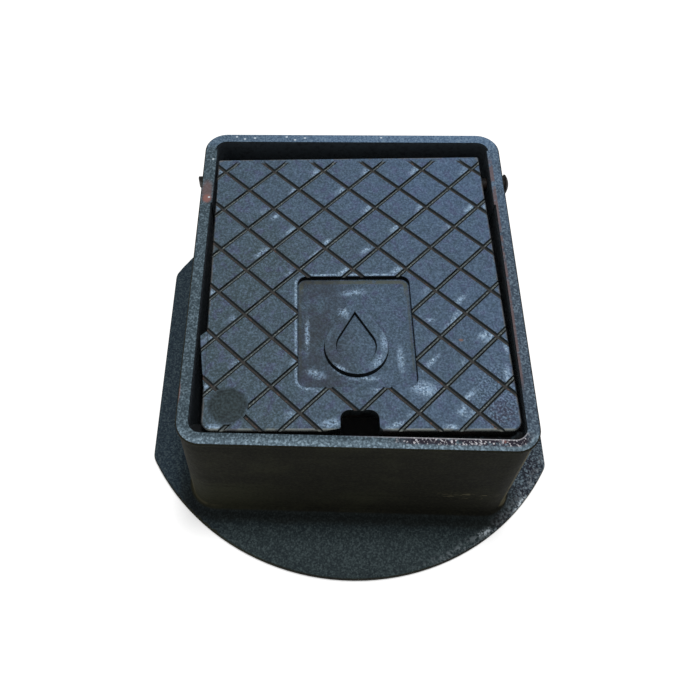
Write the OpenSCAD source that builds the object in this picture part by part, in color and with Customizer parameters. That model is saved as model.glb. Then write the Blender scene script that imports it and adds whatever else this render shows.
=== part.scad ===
// Cast iron surface box for a buried tap or meter, with a hinged lid that lies flush in its rim.
// Origin: centre of the base flange, on its underside. The lid's key slot faces -Y, the hinge +Y.

/* [Base flange] */
// Radius of the round base flange
flange_r = 129; // [125:0.5:150]
// Width across the two straight sides of the flange
flange_w = 224.4; // [200:0.2:240]
// Thickness of the flange
flange_t = 4; // [3:0.5:8]
// Radius of the flange's worn upper edge
flange_edge = 1.5; // [0.5:0.1:2.4]
// Radius where a straight side meets the round of the flange
flange_corner = 9; // [4:0.5:14]
// Radius of the fillet between the wall's foot and the flange
foot_fillet = 4; // [2:0.5:5]

/* [Box] */
// Height of the rim above the ground
height = 92; // [75:1:150]
// How far the box stands behind the flange's centre
box_back = 8; // [0:0.5:12]
// Width over the rim
rim_w = 171.6; // [164:0.1:180]
// Depth over the rim, front to back
rim_d = 197; // [190:0.2:205]
// Radius of the rim's outer corners
rim_r = 12.5; // [10:0.5:18]
// Width of the rim's flat top
rim_t = 6.5; // [5:0.1:7]
// Radius of the corners inside the rim
mouth_r = 6; // [3:0.5:9]
// How far the lip of the rim overhangs the wall
lip_out = 0.8; // [0.5:0.1:2.2]
// Height of the lip's straight band
lip_h = 1.8; // [1:0.1:6]
// Worn bevel on the edges of the rim and the lid
bevel = 0.6; // [0.3:0.1:1]
// How much further out the outside of the wall stands at its foot than under the lip
draft_out = 2.5; // [1:0.1:6]
// The same for the inside of the wall
draft_in = 1.5; // [0:0.1:3]
// How far the pads that carry the hinge pin stand in from the wall
pad_in = 0.6; // [0.3:0.1:0.8]
// Distance from the pin to the front of a pad
pad_front = 24.5; // [10:0.5:40]

/* [Lid seat] */
// Width of the front ledge that the lid lies on
seat_w = 7; // [4:0.5:9]
// Thickness of the ledge above its sloping underside
seat_t = 5; // [3:0.5:10]
// Clearance between ledge and lid
seat_clear = 0.2; // [0.1:0.05:0.5]
// Room in the ledge beside the key slot, on each side
key_room = 8.5; // [4:0.5:20]

/* [Lid] */
// Gap between the lid's side edges and the rim
side_gap = 3.7; // [3:0.1:6]
// Thickness of the lid's plate
lid_t = 6.5; // [5.5:0.1:7]
// How far the lid lies below the rim
lid_drop = 1; // [0:0.1:2]
// Gap between the lid's front edge and the rim
front_gap = 2.8; // [2:0.1:4]
// Gap between the lid's back edge and the rim
back_gap = 11.4; // [9:0.2:15]
// Turn of the lid in its seat, from play at the hinge
lid_skew = 1.4; // [0:0.1:1.5]
// Radius of the lid's front corners
lid_front_r = 5.5; // [2:0.5:8]
// Radius of the lid's back corners
lid_back_r = 1.3; // [1.1:0.1:4]
// Gap between the nib on the lid's left edge and the rim
nib_gap = 0.5; // [0.4:0.1:2]
// Length of the nib, which tapers towards the front
nib_l = 31; // [20:0.5:40]
// Length of the steep slope at the nib's back end
nib_slope = 2.8; // [1:0.1:5]
// Length of the nib's widest stretch
nib_full = 5.4; // [2:0.1:10]
// How full the nib still is where its taper begins, as a share of its reach
nib_taper = 0.85; // [0.3:0.05:0.95]
// Distance from the lid's front edge to the nib
nib_front = 23.4; // [15:0.2:40]

/* [Tread grooves] */
// Distance between groove crossings across the lid
tread_w = 28.28; // [20:0.1:40]
// Distance between groove crossings from front to back
tread_d = 27.5; // [20:0.1:40]
// Width of a groove at the top
groove_w = 2.3; // [1.4:0.1:4]
// Width of a groove's floor
groove_floor = 1.2; // [0.5:0.1:1.3]
// Depth of a groove
groove_deep = 1.1; // [0.5:0.1:2]
// Distance from the lid's back edge to where the grooves begin
tread_back = 0.9; // [0.8:0.1:8]
// Length over which the grooves run out at the back
tread_fade = 4; // [0.5:0.5:8]
// Distance from the lid's front edge to a row of crossings
tread_front = 91.7; // [80:0.1:110]

/* [Sunk panel and plain land] */
// Width of the sunk panel
panel_w = 58.5; // [30:0.5:80]
// Depth of the sunk panel, front to back
panel_d = 64.3; // [30:0.1:66]
// Radius of the panel's corners
panel_r = 4.5; // [3:0.5:10]
// How deep the panel is sunk
panel_deep = 3.2; // [1:0.1:4]
// Distance from the lid's front edge to the panel
panel_front = 22.7; // [18:0.1:26]
// Radius of the plain round land
land_r = 9.8; // [6:0.1:12]
// Distance from the lid's front edge to the land's centre
land_front = 12.9; // [11:0.1:20]
// Distance from the lid's left edge to the land's centre
land_side = 12.5; // [11:0.1:20]

/* [Key slot] */
// Width of the key slot
slot_w = 18.5; // [12:0.5:24]
// Depth of the key slot from the lid's front edge
slot_d = 10.6; // [9.5:0.1:12]
// Radius of the key slot's inner corners
slot_r = 4.5; // [2:0.5:6]
// Radius of the slot's mouth
slot_mouth_r = 1.5; // [0.5:0.1:3]
// Length of the worn lead-in at the left of the mouth
slot_wear_l = 7; // [3:0.5:12]
// Depth of that lead-in
slot_wear_d = 1.2; // [0.5:0.1:2]

/* [Hinge] */
// Diameter of the hinge pin
pin_d = 7.6; // [6:0.1:8]
// Depth of the pin's axis below the rim
pin_drop = 12; // [11.8:0.1:14]
// Distance from the lid's back edge to the pin's axis
pin_front = 10; // [8.5:0.1:11]
// Running clearance between pin and lid, on the radius
pin_clear = 0.08; // [0.03:0.01:0.1]
// How far the pin's plain end stands out of the wall
pin_out = 4.2; // [3:0.1:8]
// Slope of the sheared front half of the pin's plain end
shear_angle = 38; // [0:1:45]
// Diameter of the pin's head
head_d = 12; // [9:0.1:14]
// Height of the head
head_h = 2.6; // [2:0.1:5]
// Height of the straight edge below the head's dome
head_edge = 0.5; // [0.3:0.1:1]
// Length of pin that shows between the wall and the head
head_gap = 3.7; // [0.3:0.1:6]
// Distance from the lid's side edges to the hinge lugs
lug_side = 22; // [12:0.5:40]
// Width of a hinge lug
lug_w = 15; // [8:0.5:20]
// Wall of a hinge lug round the pin
lug_wall = 4.2; // [3:0.1:5]
// Length of the web that runs forward from a lug
lug_web = 26; // [20:0.5:34]

/* [Ribs under the lid] */
// Thickness of the ribs
rib_t = 5; // [3:0.5:8]
// Depth of the ribs below the plate
rib_h = 8; // [4:0.5:12]
// Distance from the lid's side edges to the ring of ribs
rib_side = 7.3; // [3:0.1:15]

/* [Hidden] */
$fn = 96;

// Overlap of shapes that are joined, and run of cuts past a face
eps = 1;

// How far a ledge or a fillet reaches into the wall that it grows from
root = 2;

// The wall, seen in plan just under the lip and at the foot
wall_w = rim_w - 2 * lip_out;
wall_d = rim_d - 2 * lip_out;
wall_r = rim_r - lip_out;
wall_top = height - bevel - lip_h - lip_out;
foot_w = wall_w + 2 * draft_out;
foot_d = wall_d + 2 * draft_out;
foot_r = wall_r + draft_out;

// The mouth of the box, inside the rim
mouth_w = rim_w - 2 * rim_t;
mouth_d = rim_d - 2 * rim_t;
lid_w = mouth_w - 2 * side_gap;

// Front and back of the lid, measured from the middle of the rim
lid_front = -mouth_d / 2 + front_gap;
lid_back = mouth_d / 2 - back_gap;
lid_d = lid_back - lid_front;
lid_mid = (lid_back + lid_front) / 2;
lid_top = height - lid_drop;
lid_under = lid_top - lid_t;

// The hinge axis, measured from the middle of the rim
pin_y = lid_back - pin_front;
pin_z = height - pin_drop;
seat_z = lid_under - seat_clear;

// How far the wall's outside stands out at a height, past its place under the lip
function wall_out(z) = draft_out * (wall_top - z) / wall_top;
function wall_in(z) = draft_in * (height - z) / height;

// Block with rounded corners whose every side moves out by grow from bottom to top
module drafted_block(w, d, r_front, r_back, h, grow) {
    for (sx = [-1, 1]) {
        translate([sx * (w / 2 - r_front), -d / 2 + r_front, 0])
            cylinder(h = h, r1 = r_front, r2 = r_front + grow);
        translate([sx * (w / 2 - r_back), d / 2 - r_back, 0])
            cylinder(h = h, r1 = r_back, r2 = r_back + grow);
    }
    translate([0, d / 2 - r_back, 0])
        rotate([90, 0, 0])
            linear_extrude(d - r_front - r_back)
                polygon([[-w / 2, 0], [w / 2, 0], [w / 2 + grow, h], [-w / 2 - grow, h]]);
    translate([-w / 2 + r_front, 0, 0])
        along_x(w - 2 * r_front)
            polygon([[-d / 2, 0], [0, 0], [0, h], [-d / 2 - grow, h]]);
    translate([-w / 2 + r_back, 0, 0])
        along_x(w - 2 * r_back)
            polygon([[0, 0], [d / 2, 0], [d / 2 + grow, h], [0, h]]);
}

// Runs a profile drawn in Y and Z along X
module along_x(length) {
    rotate([90, 0, 90]) linear_extrude(length) children();
}

// Half section of a plate whose upper edge is rounded
module plate_section(half, t, edge) {
    square([half - edge, t]);
    square([half, t - edge]);
    translate([half - edge, t - edge]) circle(edge);
}

// Base flange

// Centre of the small arc that joins a straight side to the round of the flange
arc_x = flange_w / 2 - flange_corner;
arc_y = sqrt(pow(flange_r - flange_corner, 2) - pow(arc_x, 2));
arc_reach = flange_r / (flange_r - flange_corner);

module flange() {
    difference() {
        intersection() {
            rotate_extrude() plate_section(flange_r, flange_t, flange_edge);
            translate([0, flange_r + eps, 0])
                rotate([90, 0, 0])
                    linear_extrude(2 * flange_r + 2 * eps) {
                        plate_section(flange_w / 2, flange_t, flange_edge);
                        mirror([1, 0]) plate_section(flange_w / 2, flange_t, flange_edge);
                    }
        }
        for (sx = [-1, 1], sy = [-1, 1])
            in_quarter(sx, sy)
                translate([0, 0, -eps])
                    linear_extrude(flange_t + 2 * eps)
                        polygon([
                            [arc_x, arc_y],
                            [flange_w / 2 + eps, arc_y],
                            [flange_w / 2 + eps, arc_y * arc_reach],
                            [arc_x * arc_reach, arc_y * arc_reach]
                        ]);
    }
    for (sx = [-1, 1], sy = [-1, 1])
        translate([sx * arc_x, sy * arc_y, 0])
            rotate_extrude() plate_section(flange_corner, flange_t, flange_edge);
}

// Puts a shape drawn in one quarter into the quarter that the signs name
module in_quarter(sx, sy) {
    mirror([sx < 0 ? 1 : 0, 0, 0]) mirror([0, sy < 0 ? 1 : 0, 0]) children();
}

// Foot of the box: its plan with room for the fillet, which the flange is too narrow for at the rear corners
module foot() {
    grow = foot_fillet + flange_edge;
    w = foot_w + 2 * grow;
    d = foot_d + 2 * grow;
    r = foot_r + grow;
    translate([0, box_back, 0]) {
        drafted_block(w, d, r, r, flange_t - flange_edge, 0);
        translate([0, 0, flange_t - flange_edge])
            drafted_block(w, d, r, r, flange_edge, -flange_edge);
    }
}

// Concave fillet between the wall and the flange
module foot_round() {
    out = wall_out(flange_t + foot_fillet);
    corner_x = wall_w / 2 - wall_r;
    corner_y = wall_d / 2 - wall_r;
    translate([0, box_back, flange_t - eps]) {
        for (sx = [-1, 1], sy = [-1, 1])
            in_quarter(sx, sy)
                translate([corner_x, corner_y, 0])
                    rotate_extrude(angle = 90) fillet_section(wall_r + out);
        for (sy = [-1, 1])
            in_quarter(1, sy)
                translate([-corner_x, corner_y, 0])
                    along_x(2 * corner_x) fillet_section(wall_r + out);
        for (sx = [-1, 1])
            in_quarter(sx, 1)
                translate([corner_x, corner_y, 0])
                    rotate([90, 0, 0])
                        linear_extrude(2 * corner_y) fillet_section(wall_r + out);
    }
}

// Section of the fillet, which starts inside the wall and below the flange's top
module fillet_section(r) {
    difference() {
        translate([r - root, 0]) square([foot_fillet + root, foot_fillet + eps]);
        translate([r + foot_fillet, foot_fillet + eps]) circle(foot_fillet);
    }
}

// Box

module box_outside() {
    drafted_block(foot_w, foot_d, foot_r, foot_r, wall_top, -draft_out);
    translate([0, 0, wall_top])
        drafted_block(wall_w, wall_d, wall_r, wall_r, lip_out, lip_out);
    translate([0, 0, wall_top + lip_out])
        drafted_block(rim_w, rim_d, rim_r, rim_r, lip_h, 0);
    translate([0, 0, height - bevel])
        drafted_block(rim_w, rim_d, rim_r, rim_r, bevel, -bevel);
}

module box_inside() {
    low = wall_in(-eps);
    translate([0, 0, -eps])
        drafted_block(mouth_w + 2 * low, mouth_d + 2 * low,
            mouth_r + low, mouth_r + low, height + eps, -low);
    translate([0, 0, height - bevel / 2])
        drafted_block(mouth_w, mouth_d, mouth_r, mouth_r, bevel, bevel);
}

// Front ledge with a sloping underside, in two parts that leave the way below the key slot clear
module seats() {
    start = slot_w / 2 + key_room;
    for (sx = [-1, 1])
        in_quarter(sx, 1)
            translate([start, -mouth_d / 2, seat_z])
                along_x(mouth_w / 2 - start + eps)
                    polygon([
                        [-root, 0],
                        [seat_w, 0],
                        [seat_w, -seat_t],
                        [0, -seat_t - seat_w],
                        [-root, -seat_t - seat_w]
                    ]);
}

// Pads inside the side walls that carry the pin
module pads() {
    length = mouth_d / 2 - mouth_r - pin_y + pad_front;
    for (sx = [-1, 1])
        in_quarter(sx, 1)
            translate([mouth_w / 2 - pad_in, pin_y - pad_front, pin_z - head_d])
                cube([pad_in + eps, length, head_d + pin_drop]);
}

module frame() {
    color("#3b444e")
        difference() {
            union() {
                difference() {
                    union() {
                        flange();
                        foot();
                        foot_round();
                        translate([0, box_back, 0]) box_outside();
                    }
                    translate([0, box_back, 0]) box_inside();
                }
                translate([0, box_back, 0]) {
                    seats();
                    pads();
                }
            }
            translate([-rim_w, box_back + pin_y, pin_z])
                rotate([0, 90, 0]) cylinder(h = 2 * rim_w, d = pin_d + 2 * pin_clear);
        }
}

// Lid

module groove(length) {
    half = length / 2;
    slope = (groove_w - groove_floor) / 2 / groove_deep;
    top = groove_w / 2 + slope * eps;
    translate([-half, 0, lid_top - groove_deep])
        along_x(length)
            polygon([
                [-groove_floor / 2, 0],
                [groove_floor / 2, 0],
                [top, groove_deep + eps],
                [-top, groove_deep + eps]
            ]);
}

module tread() {
    angle = atan(tread_d / tread_w);
    reach = lid_w / 2 + (lid_d / 2 + tread_d) * tread_w / tread_d;
    count = ceil(reach / tread_w);
    difference() {
        intersection() {
            for (i = [-count:count], turn = [-angle, angle])
                translate([i * tread_w, lid_front + tread_front, 0])
                    rotate([0, 0, turn]) groove(2 * (lid_w + lid_d));
            tread_reach();
        }
        panel(panel_deep + 2 * eps);
        translate([-lid_w / 2 + land_side, lid_front + land_front, 0])
            cylinder(h = height + 2 * eps, r = land_r);
    }
}

// Where grooves may be: over the whole lid, less and less deep towards its back edge
module tread_reach() {
    back = lid_back - tread_back;
    run = eps * tread_fade / groove_deep;
    low = lid_top - groove_deep - eps;
    translate([-lid_w, 0, 0])
        along_x(2 * lid_w)
            polygon([
                [lid_front - eps, low],
                [back - tread_fade - run, low],
                [back + run, lid_top + eps],
                [lid_front - eps, lid_top + eps]
            ]);
}

// The sunk panel as a block, from its floor up past the lid's top
module panel(above) {
    translate([0, lid_front + panel_front + panel_d / 2, lid_top - panel_deep])
        drafted_block(panel_w, panel_d, panel_r, panel_r, panel_deep + above, 0);
}

module key_slot() {
    half = slot_w / 2;
    inner = lid_front + slot_d;
    low = lid_under - rib_h - eps;
    translate([0, 0, low])
        linear_extrude(height) {
            translate([-half, lid_front - eps]) square([slot_w, slot_d - slot_r + eps]);
            translate([-half + slot_r, inner - 2 * slot_r])
                square([slot_w - 2 * slot_r, 2 * slot_r]);
            for (sx = [-1, 1])
                translate([sx * (half - slot_r), inner - slot_r]) circle(slot_r);
            for (sx = [-1, 1])
                mirror([sx < 0 ? 1 : 0, 0]) slot_mouth(half);
            polygon([
                [-half + eps, lid_front + slot_wear_d],
                [-half, lid_front + slot_wear_d],
                [-half - slot_wear_l, lid_front],
                [-half - slot_wear_l, lid_front - eps],
                [-half + eps, lid_front - eps]
            ]);
        }
}

// Rounded corner where the slot's right side meets the lid's front edge
module slot_mouth(half) {
    difference() {
        translate([half - eps, lid_front - eps])
            square([slot_mouth_r + eps, slot_mouth_r + eps]);
        translate([half + slot_mouth_r, lid_front + slot_mouth_r]) circle(slot_mouth_r);
    }
}

// Nib on the left edge, full at its back end and tapering towards the front
module nib() {
    edge = -lid_w / 2;
    out = side_gap - nib_gap;
    start = lid_front + nib_front;
    translate([0, 0, lid_under])
        linear_extrude(lid_t - bevel / 2)
            polygon([
                [edge + eps, start],
                [edge, start],
                [edge - out * nib_taper, start + nib_l - nib_slope - nib_full],
                [edge - out, start + nib_l - nib_slope],
                [edge, start + nib_l],
                [edge + eps, start + nib_l]
            ]);
}

module plate() {
    translate([0, lid_mid, lid_under])
        drafted_block(lid_w, lid_d, lid_front_r, lid_back_r, lid_t - bevel, 0);
    translate([0, lid_mid, lid_top - bevel])
        drafted_block(lid_w, lid_d, lid_front_r, lid_back_r, bevel, -bevel);
}

// Ring of ribs inside the ledges, with a rib each way across it
module ribs() {
    ring_w = lid_w - 2 * rib_side;
    ring_front = lid_front + slot_d + rib_t / 2;
    ring_back = pin_y - lug_web + rib_t;
    ring_d = ring_back - ring_front;
    ring_mid = (ring_back + ring_front) / 2;
    translate([0, ring_mid, lid_under - rib_h]) {
        difference() {
            translate([-ring_w / 2, -ring_d / 2, 0]) cube([ring_w, ring_d, rib_h + eps]);
            translate([-ring_w / 2 + rib_t, -ring_d / 2 + rib_t, -eps])
                cube([ring_w - 2 * rib_t, ring_d - 2 * rib_t, rib_h + 3 * eps]);
        }
        translate([-rib_t / 2, -ring_d / 2 + eps, 0])
            cube([rib_t, ring_d - 2 * eps, rib_h + eps]);
        translate([-ring_w / 2 + eps, -rib_t / 2, 0])
            cube([ring_w - 2 * eps, rib_t, rib_h + eps]);
    }
}

// Hinge lugs, square to the pin, with a web forward to the ring of ribs
module lugs() {
    lug_r = pin_d / 2 + lug_wall;
    plate_z = lid_under - pin_z + eps;
    for (side = [-lid_w / 2 + lug_side, lid_w / 2 - lug_side - lug_w])
        translate([side, pin_y, pin_z])
            along_x(lug_w) {
                circle(lug_r);
                translate([-lug_r, 0]) square([2 * lug_r, plate_z]);
                polygon([
                    [0, -lug_r],
                    [-lug_web, plate_z - eps - rib_h],
                    [-lug_web, plate_z],
                    [0, plate_z]
                ]);
            }
}

module lid() {
    color("#46535f")
        translate([0, box_back, 0])
            difference() {
                union() {
                    rotate([0, 0, lid_skew])
                        difference() {
                            union() {
                                plate();
                                nib();
                                ribs();
                            }
                            panel(eps);
                            tread();
                            key_slot();
                        }
                    lugs();
                }
                translate([-rim_w / 2, pin_y, pin_z])
                    rotate([0, 90, 0]) cylinder(h = rim_w, d = pin_d + 2 * pin_clear);
            }
}

// Hinge pin

module hinge_pin() {
    wall = wall_w / 2 + wall_out(pin_z);
    left = -wall - pin_out;
    head = wall + head_gap;
    dome_h = head_h - head_edge;
    dome_r = (pow(head_d / 2, 2) + pow(dome_h, 2)) / (2 * dome_h);
    color("#2f2d2b")
        translate([0, box_back + pin_y, pin_z]) {
            difference() {
                translate([left, 0, 0])
                    rotate([0, 90, 0]) cylinder(h = head + head_edge - left, d = pin_d);
                translate([left, 0, 0])
                    rotate([0, 0, shear_angle])
                        translate([-2 * pin_d, -2 * pin_d, -pin_d])
                            cube([2 * pin_d, 3 * pin_d, 2 * pin_d]);
            }
            translate([head, 0, 0])
                rotate([0, 90, 0])
                    intersection() {
                        cylinder(h = head_h, d = head_d);
                        translate([0, 0, head_h - dome_r]) sphere(dome_r);
                    }
        }
}

frame();
lid();
hinge_pin();
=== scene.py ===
"""Dresses the cast iron surface box: worn finishes, a raised drop on the lid, and a plain studio."""
import math

import bmesh
import bpy
from bpy.props import FloatProperty, FloatVectorProperty, IntProperty, PointerProperty
from mathutils import Euler, Matrix, Vector


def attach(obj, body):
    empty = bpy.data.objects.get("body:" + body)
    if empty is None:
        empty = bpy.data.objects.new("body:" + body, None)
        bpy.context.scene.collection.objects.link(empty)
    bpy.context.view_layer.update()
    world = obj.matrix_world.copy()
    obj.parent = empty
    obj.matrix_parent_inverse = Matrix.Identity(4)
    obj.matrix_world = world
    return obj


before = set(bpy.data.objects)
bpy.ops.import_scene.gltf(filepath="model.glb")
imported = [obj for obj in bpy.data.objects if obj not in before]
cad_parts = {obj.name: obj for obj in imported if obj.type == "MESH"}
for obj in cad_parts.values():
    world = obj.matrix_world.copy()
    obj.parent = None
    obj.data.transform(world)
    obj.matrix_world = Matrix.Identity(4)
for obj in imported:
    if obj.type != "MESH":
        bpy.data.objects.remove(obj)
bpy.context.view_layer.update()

bl_info = {
    "name": "Surface box",
    "version": (1, 0, 0),
    "blender": (4, 5, 0),
    "location": "View3D > Sidebar > Surface box",
    "description": "Finishes and studio for a cast iron surface box with a hinged lid",
    "category": "Object",
}

MM = 0.001

# Heights and places of the solids, in millimetres, and the lid's turn in its seat
FLANGE_TOP = 4.0
LID_UNDER = 84.5
LID_TOP = 91.0
RIM_TOP = 92.0
BOX_BACK = 8.0
PANEL_DEEP = 3.2
LID_TURN = math.radians(1.4)

# The tread's grooves: distance between crossings, and where one row of them lies on the lid
TREAD_W = 28.28
TREAD_D = 27.5
TREAD_ROW = 2.5
TREAD_PITCH = TREAD_W * TREAD_D / math.hypot(TREAD_W, TREAD_D)

# Widths, depths and corner radii, seen from above, of the box's mouth and foot and the lid's plate and panel
MOUTH = (158.6, 184.0, 6.0)
FOOT = (175.0, 200.4, 14.2)
PLATE = (151.2, 169.8, 4.0)
PLATE_MIDDLE = -4.3
PANEL = (58.5, 64.3, 4.5)
PANEL_MIDDLE = -34.35

# Patches seen from above, in millimetres: x and y of the middle, half the width, half the depth, and the
# turn in degrees if it has one. Those of the lid are measured from the box's middle, turned with the lid.
LAND = (-63.1, -76.3, 9.8, 9.8)
RIM_RUST = [(-82.3, 62.5, 3.2, 8.5)]
RIM_FRESH_RUST = [(-81.8, 57.0, 2.6, 3.2), (-86, -64, 1.3, 7)]
RIM_ORANGE = [(68, -85.4, 2.4, 1.2)]
RIM_CHIPS = [
    (x, y, 0.75, 0.6) for x, y in (
        (-67.7, 104.2), (-62.8, 102.5), (-56.9, 103.3), (-27.1, 103.5), (-80.7, 57.9), (-33, 102.0),
        (-38, 104.3), (18, 104.0), (-80.6, 86.5),
    )
]
FLANGE_PLUM = [(84, -95, 7, 4, 35), (103, -66, 4, 9, -20), (97, -80, 6, 5, 40)]
FLANGE_SCUFFS = [(74.2, -102, 4.6, 1.8, 30), (95, -86.6, 7, 1.8, 48)]
FLANGE_PIPS = [(105.2, -73.7, 0.9, 0.9), (92.4, -90.4, 0.9, 0.9), (107.0, -64, 0.6, 0.6)]
LID_SCUFFS = [
    (-48.6, 13.4, 5, 1.5, 42), (-32.9, 28, 5, 1.6, 42), (-41.8, 37.9, 3, 1.3, 42), (-13.8, 20.3, 4, 1.4, 42),
    (-19.9, 11.8, 5, 1.5, 42), (7.6, 14.8, 4, 1.4, 35), (65.2, 41.4, 3.4, 1.4, 42), (75.0, 44.8, 1.4, 3.6),
    (-28.1, -22.8, 3, 1.2, 42), (-5.2, 1.2, 4.4, 1.5, 45), (23.3, 1.6, 4.6, 1.8, 38),
    (49.3, -30.4, 6.5, 1.6, 44), (54.3, -17.3, 4.4, 1.4, 44), (64.4, -38.1, 4.5, 2.2, 30),
    (37.9, -29.2, 2.6, 1.2), (48.9, -78.7, 4, 2, 44), (53.1, -71, 5, 1.6, 44), (42.7, -87.3, 4, 1.3),
    (72.5, -60.4, 1.8, 6), (74.0, -43.8, 1.3, 5), (23.5, -63.2, 8, 2.3, -16), (32.0, -67.8, 8, 4.0, -20),
    (16, -60.6, 5, 2.0, -12), (-13.8, -85.5, 5, 2.4, 12), (16.8, -86.4, 5, 1.4, 20), (-70.0, -87.2, 4, 1.4),
    (-72.2, -39.1, 3, 1.6, 60), (36, -53.5, 6.5, 1.4, 44),
]
LID_BLOOM = [(67.3, -80.5, 8, 7)]
LID_GRITTY = [(66, -72, 13, 20)]
LID_RUST = [(52.2, -40.9, 1.2, 0.8), (63.4, -87.8, 1.4, 0.9), (-2, -15.6, 0.8, 0.8)]
PANEL_SCUFFS = [
    (10.5, -52.5, 5.5, 2.2, 52), (-8.5, -56.5, 4.5, 1.6, -30), (13.8, -42, 1.8, 6), (-6, -24, 2.4, 4.5, 30),
    (0, -10.5, 7, 2.0, 8), (-20.5, -58, 5.0, 2.2, -20), (22, -50, 1.8, 8), (-24.5, -36, 1.3, 10),
    (4, -60.5, 8, 1.4),
]

# Distance between the grinding marks on the land, and how tall a patch is, far beyond the object's height
MARK_PITCH = 1.6
TALL = 1e6

# Softening of the solids' edges in the finishes, in millimetres
ROUNDING = 0.9

# In metres: half the width and depth of the ground that shows dark under the box, and the floor's drop
DARK_GROUND = (0.085, 0.095)
FLOOR_DROP = 0.3 * MM

# Draft and softened edges of the drop, and how far its foot reaches below the panel's floor
DRAFT = 0.35 * MM


def paint(red, green, blue):
    """Linear colour for a colour given in screen values from 0 to 255."""
    return tuple((value / 255) ** 2.2 for value in (red, green, blue))


def colour(name, description, default):
    """A colour that a user can change in the sidebar."""
    return FloatVectorProperty(
        name=name, description=description, default=default, size=3, min=0, max=1, subtype="COLOR"
    )


def length(name, description, default, low=0.0, high=1.0):
    """A length in metres that a user can change in the sidebar."""
    return FloatProperty(
        name=name, description=description, default=default, min=low, max=high, unit="LENGTH", precision=4
    )


def share(name, description, default, high=1.0):
    """A plain number that a user can change in the sidebar."""
    return FloatProperty(name=name, description=description, default=default, min=0, max=high)


class StageSettings(bpy.types.PropertyGroup):
    """Camera, floor, sky and lamp."""

    camera_place: FloatVectorProperty(
        name="Camera place", description="Where the camera stands", default=(-0.0210, -0.2264, 0.4391),
        size=3, unit="LENGTH", subtype="TRANSLATION"
    )
    camera_turn: FloatVectorProperty(
        name="Camera turn", description="How the camera is turned", default=(0.56463, 0.03403, 0.03847),
        size=3, unit="ROTATION", subtype="EULER"
    )
    lens: share("Lens", "Focal length of the lens in millimetres", 40.59, high=200)
    shift_x: FloatProperty(name="Shift X", description="Sideways shift of the frame", default=0.1085)
    shift_y: FloatProperty(name="Shift Y", description="Upward shift of the frame", default=-0.0790)
    floor_radius: length("Floor radius", "Radius of the floor", 3.0, high=10)
    floor_colour: colour("Floor", "Colour of the floor", (0.55, 0.55, 0.55))
    floor_glow: share("Floor glow", "How much paler the floor shows than it lights", 0.55)
    sky: share("Sky", "Strength of the even light from all round", 0.42, high=5)
    lamp_power: share("Lamp power", "Power of the lamp in watts", 21.0, high=500)
    lamp_size: length("Lamp size", "Diameter of the lamp", 0.34, high=3)
    lamp_place: FloatVectorProperty(
        name="Lamp place", description="Where the lamp hangs", default=(0.09, 0.17, 1.7),
        size=3, unit="LENGTH", subtype="TRANSLATION"
    )


class DropSettings(bpy.types.PropertyGroup):
    """The raised drop on the lid's sunk panel."""

    radius: length("Radius", "Radius of the drop's round end", 0.0163, 0.008, 0.02)
    stretch: FloatProperty(
        name="Stretch", description="Distance of the point from the middle, in radii", default=1.95,
        min=1.2, max=3
    )
    band: length("Band", "Width of the drop's raised band", 0.0062, 0.002, 0.009)
    sunk: length("Sunk", "How far the middle lies below the band", 0.0022, 0.0004, 0.0028)
    height: length("Height", "How far the band stands above the panel", 0.0032, 0.0012, 0.0032)
    front: length("Front", "Distance of the drop's middle in front of the lid's middle", 0.0436, 0.03, 0.06)
    segments: IntProperty(
        name="Segments", description="Points round the outline", default=96, min=24, max=256
    )


class FrameFinish(bpy.types.PropertyGroup):
    """Colours of the frame's coat."""

    rim: colour("Rim", "Left side of the rim", paint(63, 75, 82))
    # Painted sky reflection: the right rim a little bluer than the left, and the back of the rim lighter and
    # bluer still
    rim_right: colour("Right rim", "Right side of the rim", paint(65, 76, 88))
    rim_sky_sheen: colour("Back rim", "Back of the rim", paint(83, 104, 128))
    rim_front: colour("Front rim", "Front of the rim", paint(84, 99, 109))
    frost: colour("Frost", "Pale specks", paint(125, 144, 157))
    soot: colour("Soot", "Dark specks", paint(28, 33, 38))
    wall: colour("Wall", "Outside of the walls", paint(36, 36, 32))
    wall_olive: colour("Olive wall", "Lighter parts of the walls", paint(52, 53, 43))
    wall_dark: colour("Dark wall", "Casting lines in the walls", paint(22, 22, 20))
    # The corner colour is a painted highlight down the walls' corners and along the left foot, and also the
    # pale streaks low on the front wall
    corner: colour("Corner", "Worn lines down the walls' corners", paint(94, 90, 73))
    flange: colour("Flange", "Top of the base flange", paint(45, 53, 55))
    flange_speck: colour("Flange specks", "Light specks of the flange", paint(72, 83, 85))
    flange_left: colour("Flange left", "Left side of the base flange", paint(42, 52, 60))
    # Painted light: the flange's right side is coloured lighter and bluer where more sky light falls
    flange_right: colour("Flange right", "Right side of the base flange", paint(51, 58, 66))
    inside: colour("Inside", "Inner faces of the box", paint(64, 70, 76))
    # The ledge colour is painted shade on the upward faces inside the box, and darker blotches inside
    ledge: colour("Ledge", "Dirt on the ledges", paint(22, 23, 24))
    plum: colour("Plum", "Purple black bloom", paint(40, 34, 42))
    rust: colour("Rust", "Old rust", paint(96, 80, 79))
    fresh_rust: colour("Fresh rust", "Brighter rust", paint(132, 92, 86))
    bare: colour("Bare", "Chips down to bright metal", paint(196, 208, 216))


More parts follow.
